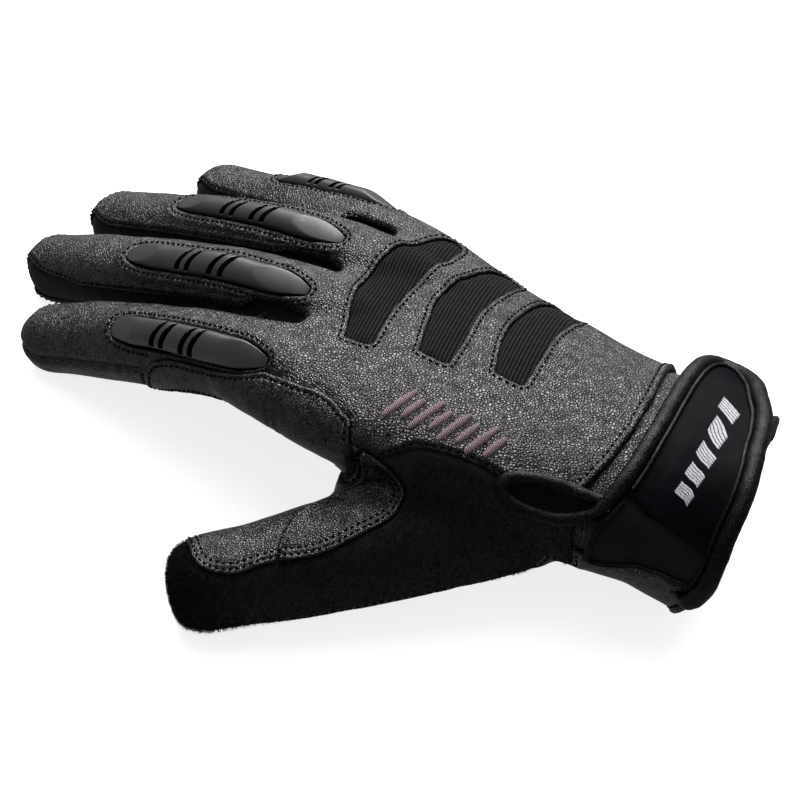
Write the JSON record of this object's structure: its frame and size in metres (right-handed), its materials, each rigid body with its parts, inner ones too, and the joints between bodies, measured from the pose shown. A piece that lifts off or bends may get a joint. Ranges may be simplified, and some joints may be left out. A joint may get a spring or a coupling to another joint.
{
  "type": "climbing glove",
  "caption": "Full-finger leather climbing glove for a right hand, with rubber knuckle guards, ribbed stretch windows and a wrapped cuff flap.",
  "frame": {"origin": "centre of the footprint box, on the surface it rests on", "axes": "fingers point towards -X and the cuff opens towards +X, the thumb points towards -Y, the back of the hand faces +Z"},
  "size_m": [0.248, 0.1646, 0.0583],
  "materials": {
    "leather": "fine pebbled grain, black, slightly greyed on the high spots",
    "patch_leather": "smoother, shinier black leather",
    "stretch_cloth": "matte black stretch cloth",
    "ribbed_knit": "black ribbed elastic knit",
    "terry_cloth": "very dark looped terry cloth",
    "guard_rubber": "dark grey satin moulded rubber",
    "satin_cloth": "blue-black satin with a soft sheen",
    "rolled_leather": "smooth rolled leather edge"
  },
  "bodies": {
    "root": {"palm": "leather", "hand_back": "leather", "cuff_band": "leather", "fourchette_index_middle": "stretch_cloth", "fourchette_middle_ring": "stretch_cloth", "fourchette_ring_little": "stretch_cloth", "thumb_back": "terry_cloth", "thumb_patch": "patch_leather", "index_side_patch": "patch_leather", "guard_index": "guard_rubber", "guard_middle": "guard_rubber", "guard_ring": "guard_rubber", "guard_little": "guard_rubber", "flex_panel_knuckle": "ribbed_knit", "flex_panel_middle": "ribbed_knit", "flex_panel_wrist": "ribbed_knit", "flap_body": "stretch_cloth", "flap_patch": "satin_cloth", "flap_piping": "rolled_leather", "slit_binding": "rolled_leather"}
  },
  "joints": []
}
